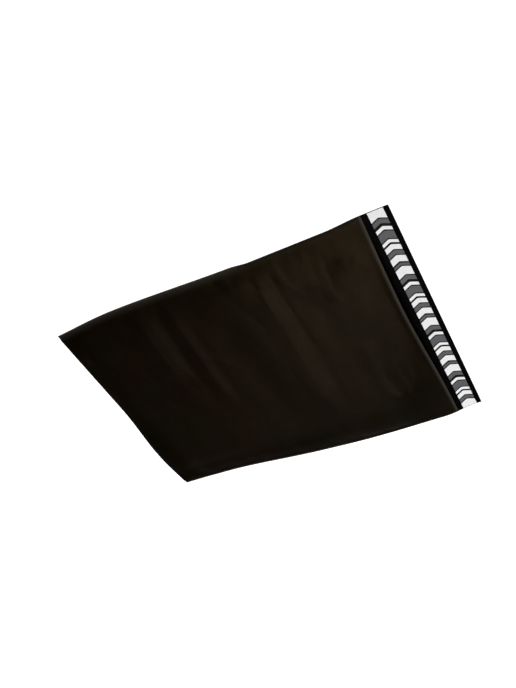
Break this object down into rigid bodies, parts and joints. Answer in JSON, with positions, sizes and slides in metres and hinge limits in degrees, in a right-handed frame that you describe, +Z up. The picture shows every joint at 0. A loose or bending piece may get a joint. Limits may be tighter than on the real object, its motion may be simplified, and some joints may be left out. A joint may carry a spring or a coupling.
{
  "type": "poly mailer bag",
  "caption": "Empty plastic film mailing bag lying flat, side-welded pocket with an open mouth and a self-seal lip under a printed release liner.",
  "frame": {"origin": "middle of the laid-out bag's outline, on the surface that it lies on", "axes": "+X from the closed fold to the lip, +Y across the bag, +Z up from the back film to the front film"},
  "size_m": [0.4669, 0.3346, 0.0114],
  "materials": {
    "black_film": "satin",
    "adhesive": "tacky gloss",
    "printed_liner": "satin"
  },
  "bodies": {
    "root": {"film_bag": "black_film", "adhesive_band": "adhesive", "release_liner": "printed_liner"}
  },
  "joints": []
}
